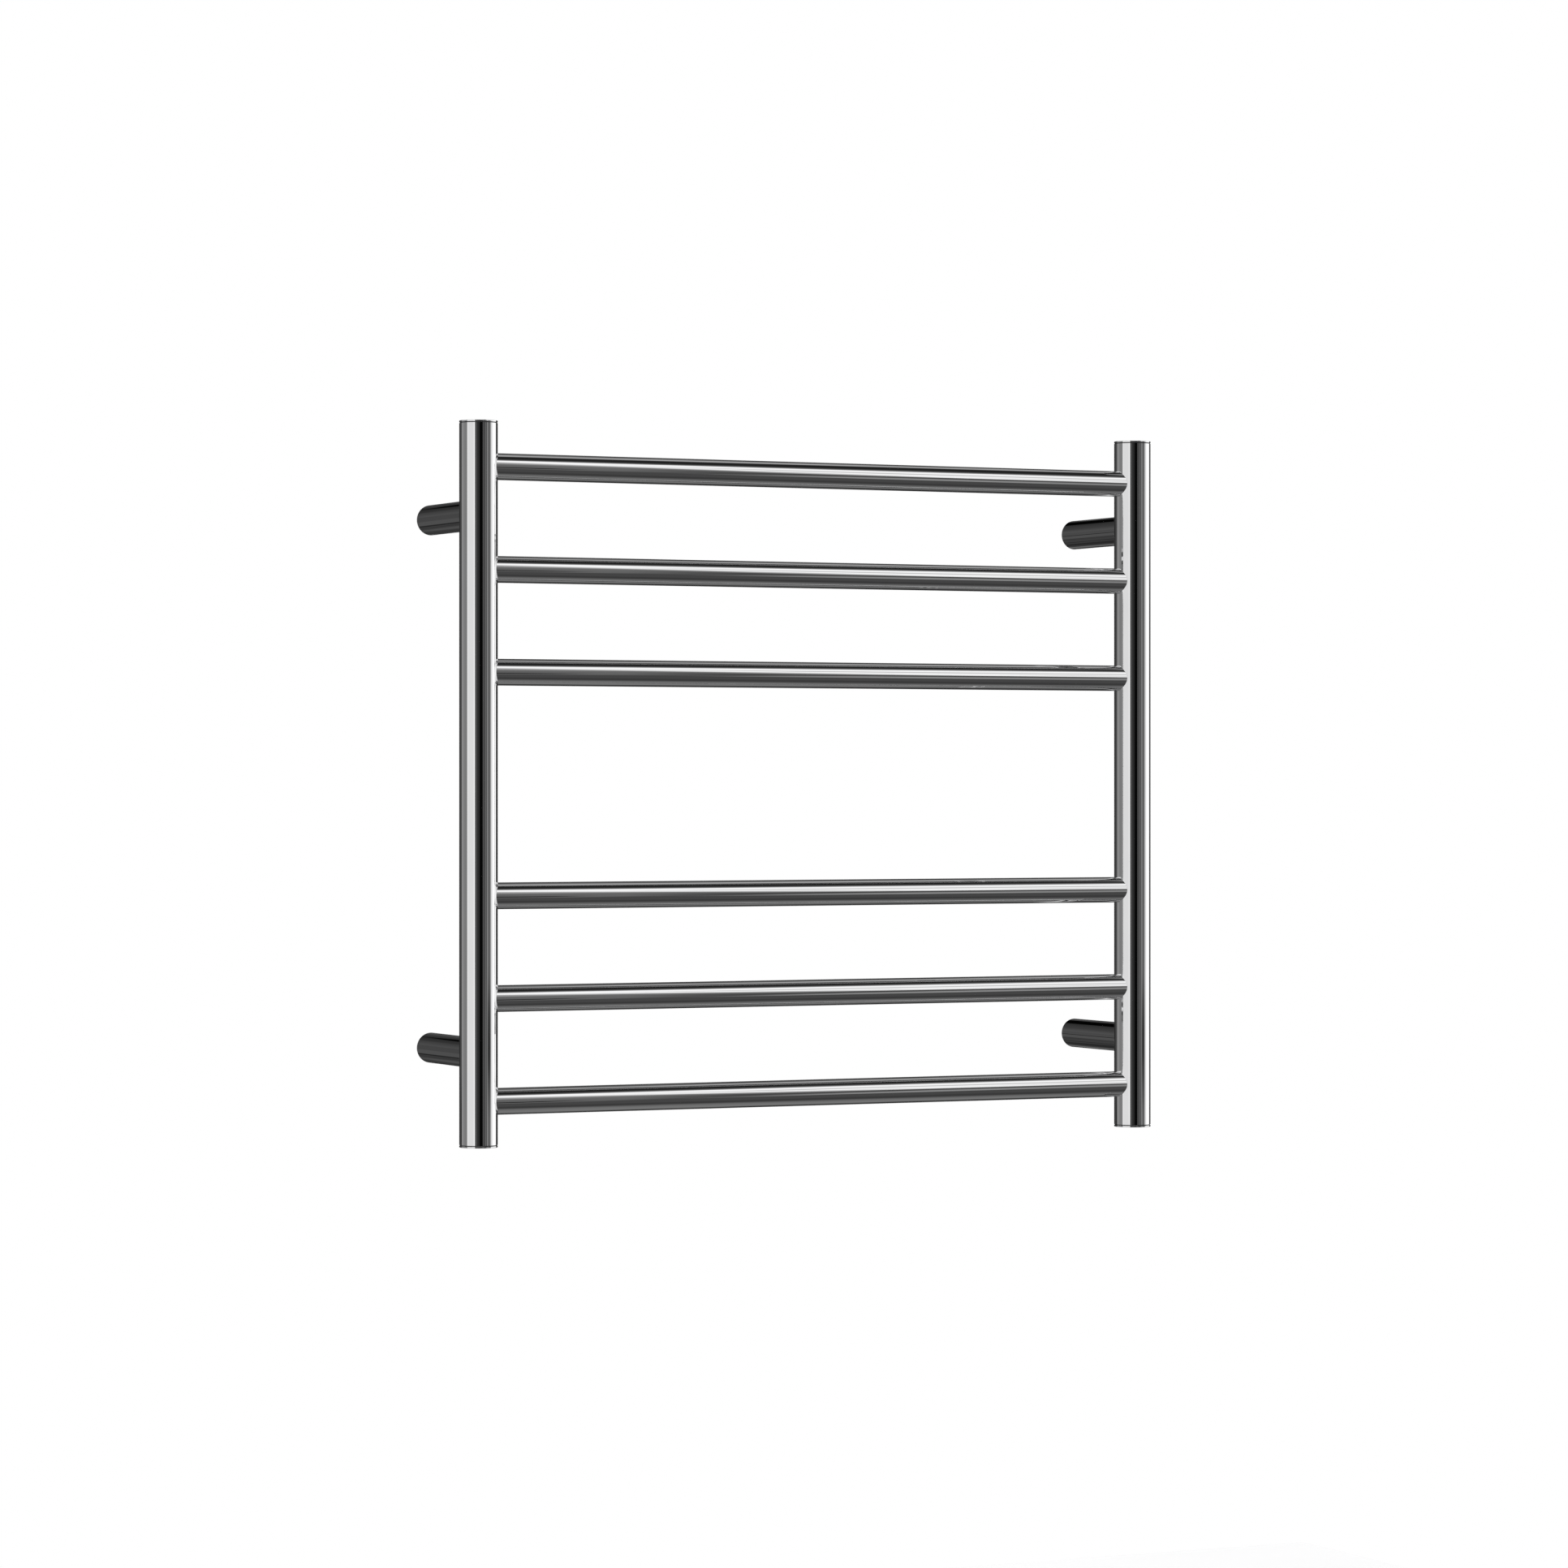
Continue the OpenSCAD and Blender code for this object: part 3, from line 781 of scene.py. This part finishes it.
def studio_reflections(tree):
    """Brightness of the studio in every direction, as the steel reflects it."""
    source = tree.nodes.new("ShaderNodeTexCoord")
    split = tree.nodes.new("ShaderNodeSeparateXYZ")
    tree.links.new(source.outputs["Generated"], split.inputs["Vector"])
    x, y, z = (split.outputs[name] for name in "XYZ")
    azimuth = facing(tree, x, y, 0)
    elevation = arithmetic(tree, "DEGREES", arithmetic(tree, "ARCSINE", z))

    left, right = (bands(tree, azimuth, rows, EYE_BLUR) for rows in (EYE_LEFT, EYE_RIGHT))
    middle = EYE_LEFT[-1][1]
    side = remap(tree, azimuth, middle - EYE_JOIN, middle + EYE_JOIN, 0, 1)
    eye = mix(tree, "FLOAT", side, left, right)
    rings = (LOW_KEY, KEY, STEP, LOWER)
    low_key, key, step, lower = (bands(tree, azimuth, rows, RING_BAND_BLUR) for rows in rings)
    ceiling = bands(tree, slanted(tree, x, y, z, CEILING_SLANT), CEILING, SLANT_BLUR)
    floor = bands(tree, slanted(tree, x, y, z, FLOOR_SLANT), FLOOR_POOL, SLANT_BLUR)

    level = floor
    for start, ring in zip(RING_STARTS, (lower, step, eye, low_key, key, ceiling)):
        rise = remap(tree, elevation, start - RING_BLUR, start + RING_BLUR, 0, 1)
        level = mix(tree, "FLOAT", rise, level, ring)
    for toward, up, half_across, half_up, blur_across, blur_up, brightness, cover in PATCHES:
        beside = facing(tree, x, y, toward)
        above = arithmetic(tree, "SUBTRACT", elevation, up)
        mask = patch(tree, beside, above, half_across, half_up, blur_across, blur_up)
        level = mix(tree, "FLOAT", arithmetic(tree, "MULTIPLY", mask, cover), level, brightness)
    return level


def studio_world():
    """White surroundings for the camera, even white light, and the studio for reflections."""
    world = bpy.data.worlds.new("studio")
    bpy.context.scene.world = world
    world.use_nodes = True
    # The soft light is the same all round, so no rays are aimed at bright places
    world.cycles.sampling_method = "NONE"
    tree = world.node_tree
    tree.nodes.clear()
    output = tree.nodes.new("ShaderNodeOutputWorld")
    background = tree.nodes.new("ShaderNodeBackground")
    background.inputs["Color"].default_value = (1, 1, 1, 1)
    path = tree.nodes.new("ShaderNodeLightPath")
    seen = studio_reflections(tree)
    level = mix(tree, "FLOAT", path.outputs["Is Glossy Ray"], SOFT_LIGHT, seen)
    level = mix(tree, "FLOAT", path.outputs["Is Camera Ray"], level, BACKGROUND)
    tree.links.new(level, background.inputs["Strength"])
    tree.links.new(background.outputs["Background"], output.inputs["Surface"])


# How far the floor lies below the rack, half its width, and its number of squares each way
FLOOR_DROP = 0.6
FLOOR_REACH = 1.3
FLOOR_SQUARES = 24


def studio_floor():
    """A plain pale floor below the rack, which the steel doesn't mirror."""
    def make(work):
        bmesh.ops.create_grid(work, x_segments=FLOOR_SQUARES, y_segments=FLOOR_SQUARES, size=FLOOR_REACH)
    spot = Vector((0, (cad_low.y + cad_high.y) / 2, cad_low.z - FLOOR_DROP))
    floor = new_piece("studio_floor", make, spot)
    floor.data.materials.append(studio_floor_paint())
    floor.visible_glossy = False


# The camera is level with the rack's middle and stands to its left. Lens and sensor are in millimetres.
CAMERA_YAW = math.radians(25.594)
CAMERA_DISTANCE = 4.5877
CAMERA_SLIDE = 0.0193
CAMERA_LENS = 121.18
CAMERA_SENSOR = 36


def studio_camera():
    """The camera at the photograph's viewing angle."""
    data = bpy.data.cameras.new("camera")
    data.lens = CAMERA_LENS
    data.sensor_width = CAMERA_SENSOR
    camera = bpy.data.objects.new("camera", data)
    bpy.context.scene.collection.objects.link(camera)
    forward = Vector((math.sin(CAMERA_YAW), math.cos(CAMERA_YAW), 0))
    right = Vector((math.cos(CAMERA_YAW), -math.sin(CAMERA_YAW), 0))
    camera.location = right * CAMERA_SLIDE - forward * CAMERA_DISTANCE
    camera.rotation_euler = (math.radians(90), 0, -CAMERA_YAW)
    bpy.context.scene.camera = camera


# ---------------------------------------------------------------- build

def build_steelwork():
    """Posts, rungs, caps, legs, bosses and screws."""
    post_steel = polished_steel("post_steel", "Z")
    rung_steel = polished_steel("rung_steel", "X")
    leg_steel = polished_steel("leg_steel", "Y")
    cap_steel = polished_steel("cap_steel", "Z")
    # Painted shade for the seam groove under each cap
    cap_seam = painted_seam_shade("cap_seam")
    boss_steel = satin_steel("boss_steel", (0.62, 0.63, 0.64), 0.45, roughness=(0.28, 0.45), line_scale=500)
    screw_steel = satin_steel("screw_steel", (0.22, 0.22, 0.23), 0.6, roughness=(0.3, 0.5), line_scale=900)
    for side in ("left", "right"):
        post(f"post_{side}", post_steel)
    for node in RUNGS:
        rung(node, rung_steel)
    for corner in CORNERS:
        cap(f"cap_{corner}", cap_steel, cap_seam)
        leg(f"leg_{corner}", leg_steel)
        wall_boss(f"wall_boss_{corner}", boss_steel)
        grub_screw(f"grub_screw_{corner}", screw_steel)
    dress("earth_stud", boss_steel)
    dress("earth_nut", boss_steel)


# Moulded materials: name, colour, worn colour, roughness, grain scale, grain depth and the CAD nodes
MOULDINGS = [
    ("block_plastic", (0.80, 0.77, 0.66), (0.74, 0.70, 0.58), (0.35, 0.5), 1200, 0.01 * MM,
     ["terminal_block"]),
    ("lead_sheath", (0.78, 0.78, 0.76), (0.70, 0.70, 0.68), (0.4, 0.55), 1400, 0.01 * MM,
     ["cold_lead"]),
    ("cutout_sleeve", (0.35, 0.03, 0.02), (0.28, 0.02, 0.02), (0.3, 0.45), 800, 0.02 * MM,
     ["thermal_cutout"]),
    ("splice_sleeve", (0.02, 0.02, 0.022), (0.035, 0.035, 0.035), (0.35, 0.5), 700, 0.03 * MM,
     ["lead_splice", "element_end_seal"]),
    ("cable_sheath", (0.72, 0.12, 0.02), (0.60, 0.09, 0.02), (0.4, 0.55), 1400, 0.01 * MM,
     ["heating_cable"]),
]


def build_electrics():
    """The bush, and the materials of everything inside the tubes."""
    rubber = moulded("bush_rubber", (0.03, 0.03, 0.032), (0.05, 0.05, 0.05), (0.55, 0.75), 900, 0.03 * MM)
    cable_bush("cable_bush", rubber)
    for *look, nodes in MOULDINGS:
        material = moulded(*look)
        for node in nodes:
            dress(node, material)
    dress("terminal_contacts", brass("contact_brass", (0.80, 0.58, 0.25), (0.55, 0.36, 0.14)))
    dress("earth_tag", brass("tinned_brass", (0.72, 0.71, 0.68), (0.55, 0.53, 0.48)))
    dress("earth_lead", earth_sheath("earth_sheath", centre("earth_lead").x))


studio_camera()
studio_world()
studio_floor()
build_steelwork()
build_electrics()
bpy.context.scene.view_settings.view_transform = "Standard"
